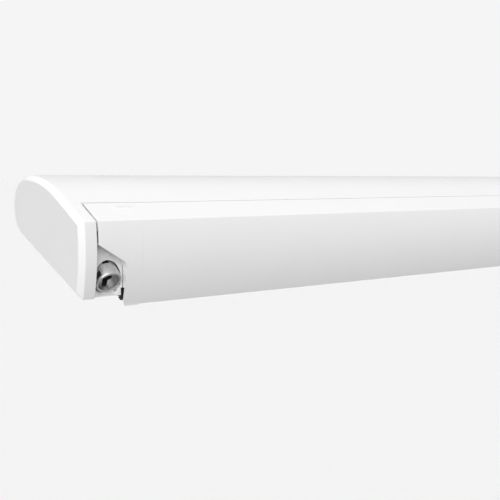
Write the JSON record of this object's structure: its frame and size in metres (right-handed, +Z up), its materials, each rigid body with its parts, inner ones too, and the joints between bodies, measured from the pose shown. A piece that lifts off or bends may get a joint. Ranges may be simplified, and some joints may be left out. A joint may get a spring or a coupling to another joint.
{
  "type": "roll out awning",
  "caption": "Closed cassette awning: case, wound canopy, folding arms, lead rail with stowed legs, crank drive and roof brackets.",
  "frame": {"origin": "middle of the roof face of the middle roof bracket", "axes": "+X along the case to the right seen from the front, +Z up, the lead rail and crank eye face -Y"},
  "size_m": [2.614, 0.2008, 0.1402],
  "materials": {
    "case_paint": "white powder coat on extruded aluminium",
    "end_cap_plastic": "moulded, satin white",
    "panel_plastic": "moulded, mid grey",
    "gearbox_plastic": "moulded nylon, black",
    "steel_plate": "zinc plated",
    "cast_arm": "die cast, fine texture",
    "arm_tube_paint": "powder coated, light grey",
    "bright_steel": "turned steel",
    "crank_metal": "zinc die casting, satin",
    "bracket_paint": "anodised, dark",
    "screw_steel": "stainless",
    "roller_aluminium": "mill finish",
    "canopy_fabric": "coated woven cloth, grey",
    "hinge_black": "moulded, black",
    "leg_aluminium": "anodised",
    "foot_black": "moulded, black"
  },
  "bodies": {
    "case": {"housing_profile": "case_paint", "left_end_cap": "end_cap_plastic", "right_end_cap": "end_cap_plastic", "crank_panel": "panel_plastic", "gear_mount_plate": "steel_plate", "right_bearing_plate": "steel_plate", "gearbox_case": "gearbox_plastic", "roller_bushes": "gearbox_plastic", "left_shoulder_bracket": "cast_arm", "right_shoulder_bracket": "cast_arm", "shoulder_pins": "bright_steel", "left_roof_bracket": "bracket_paint", "middle_roof_bracket": "bracket_paint", "right_roof_bracket": "bracket_paint", "bracket_screws": "screw_steel", "end_plate_screws": "screw_steel"},
    "roller": {"roller_tube": "roller_aluminium", "left_roller_plug": "bright_steel", "right_roller_plug": "bright_steel", "fabric_roll": "canopy_fabric", "worm_wheel": "bright_steel"},
    "crank_worm": {"worm_shaft": "bright_steel", "crank_eye": "crank_metal"},
    "canopy_edge": {"canopy_sheet": "canopy_fabric"},
    "lead_rail": {"lead_rail_profile": "case_paint", "left_rail_cap": "end_cap_plastic", "right_rail_cap": "end_cap_plastic", "left_wrist_bracket": "cast_arm", "right_wrist_bracket": "cast_arm", "wrist_pins": "bright_steel", "welt_cord": "canopy_fabric", "left_leg_hinge": "hinge_black", "right_leg_hinge": "hinge_black", "leg_hinge_pins": "bright_steel"},
    "left_inner_arm": {"left_inner_arm_tube": "arm_tube_paint", "left_shoulder_knuckle": "cast_arm", "left_elbow_fork": "cast_arm", "left_elbow_pin": "bright_steel", "left_arm_spring": "bright_steel", "left_tension_cable": "bright_steel"},
    "left_outer_arm": {"left_outer_arm_tube": "arm_tube_paint", "left_elbow_knuckle": "cast_arm", "left_wrist_knuckle": "cast_arm"},
    "left_leg": {"left_leg_outer_tube": "leg_aluminium"},
    "left_leg_extension": {"left_leg_inner_tube": "leg_aluminium"},
    "left_foot": {"left_leg_foot": "foot_black"},
    "left_clamp_lever": {"left_leg_clamp_lever": "hinge_black"},
    "right_inner_arm": {"right_inner_arm_tube": "arm_tube_paint", "right_shoulder_knuckle": "cast_arm", "right_elbow_fork": "cast_arm", "right_elbow_pin": "bright_steel", "right_arm_spring": "bright_steel", "right_tension_cable": "bright_steel"},
    "right_outer_arm": {"right_outer_arm_tube": "arm_tube_paint", "right_elbow_knuckle": "cast_arm", "right_wrist_knuckle": "cast_arm"},
    "right_leg": {"right_leg_outer_tube": "leg_aluminium"},
    "right_leg_extension": {"right_leg_inner_tube": "leg_aluminium"},
    "right_foot": {"right_leg_foot": "foot_black"},
    "right_clamp_lever": {"right_leg_clamp_lever": "hinge_black"}
  },
  "joints": [
    {"name": "left_shoulder", "type": "hinge", "parent": "case", "child": "left_inner_arm", "pos_m": [-1.175, -0.06907, 0.044], "axis": [0, 0.2874, -0.9578], "range_deg": [0, 80]},
    {"name": "left_elbow", "type": "hinge", "parent": "left_inner_arm", "child": "left_outer_arm", "pos_m": [-0.16, -0.08344, 0.03969], "axis": [0, -0.2874, 0.9578], "range_deg": [0, 160]},
    {"name": "right_shoulder", "type": "hinge", "parent": "case", "child": "right_inner_arm", "pos_m": [1.175, -0.06907, 0.044], "axis": [0, -0.2874, 0.9578], "range_deg": [0, 80]},
    {"name": "right_elbow", "type": "hinge", "parent": "right_inner_arm", "child": "right_outer_arm", "pos_m": [0.16, -0.08344, 0.03969], "axis": [0, 0.2874, -0.9578], "range_deg": [0, 160]},
    {"name": "left_wrist", "type": "hinge", "parent": "left_outer_arm", "child": "lead_rail", "pos_m": [-1.175, -0.09781, 0.03538], "axis": [0, 0.2874, -0.9578], "range_deg": [0, 80]},
    {"name": "roller_turn", "type": "hinge", "parent": "case", "child": "roller", "pos_m": [0, -0.019, 0.07301], "axis": [1, 0, 0], "range_deg": [0, 3984.21]},
    {"name": "crank_turn", "type": "hinge", "parent": "case", "child": "crank_worm", "pos_m": [-1.2708, -0.1328, 0.00079], "axis": [0, -0.7574, -0.6529], "range_deg": [0, 23900.25]},
    {"name": "canopy_pull", "type": "slide", "parent": "case", "child": "canopy_edge", "axis": [0, -0.9578, -0.2874], "range_m": [0, 1.97537], "deforming": ["canopy_sheet"]},
    {"name": "left_leg_swing", "type": "hinge", "parent": "lead_rail", "child": "left_leg", "pos_m": [-1.2358, -0.116, -0.00851], "axis": [0, 1, 0], "range_deg": [0, 90]},
    {"name": "left_leg_extend", "type": "slide", "parent": "left_leg", "child": "left_leg_extension", "axis": [1, 0, 0], "range_m": [0, 0.95]},
    {"name": "left_foot_fold", "type": "hinge", "parent": "left_leg_extension", "child": "left_foot", "pos_m": [-0.0775, -0.116, -0.00851], "axis": [0, 1, 0], "range_deg": [0, 90]},
    {"name": "left_clamp_turn", "type": "hinge", "parent": "left_leg", "child": "left_clamp_lever", "pos_m": [-0.1255, -0.116, -0.02111], "axis": [0, -1, 0], "range_deg": [0, 80]},
    {"name": "right_leg_swing", "type": "hinge", "parent": "lead_rail", "child": "right_leg", "pos_m": [1.2358, -0.116, -0.00851], "axis": [0, -1, 0], "range_deg": [0, 90]},
    {"name": "right_leg_extend", "type": "slide", "parent": "right_leg", "child": "right_leg_extension", "axis": [-1, 0, 0], "range_m": [0, 0.95]},
    {"name": "right_foot_fold", "type": "hinge", "parent": "right_leg_extension", "child": "right_foot", "pos_m": [0.0775, -0.116, -0.00851], "axis": [0, -1, 0], "range_deg": [0, 90]},
    {"name": "right_clamp_turn", "type": "hinge", "parent": "right_leg", "child": "right_clamp_lever", "pos_m": [0.1255, -0.116, -0.02111], "axis": [0, 1, 0], "range_deg": [0, 80]}
  ],
  "couplings": [
    {"joint": "left_elbow", "follows": "left_shoulder", "ratio": 2},
    {"joint": "right_shoulder", "follows": "left_shoulder", "ratio": 1},
    {"joint": "right_elbow", "follows": "left_shoulder", "ratio": 2},
    {"joint": "left_wrist", "follows": "left_shoulder", "ratio": 1},
    {"joint": "roller_turn", "follows": "left_shoulder", "ratio": 49.79},
    {"joint": "crank_turn", "follows": "left_shoulder", "ratio": 298.74},
    {"joint": "canopy_pull", "follows": "left_shoulder", "m_per_rad": 1.414},
    {"joint": "left_leg_extend", "follows": "left_leg_swing", "m_per_rad": 0.60479},
    {"joint": "right_leg_extend", "follows": "right_leg_swing", "m_per_rad": 0.60479}
  ]
}
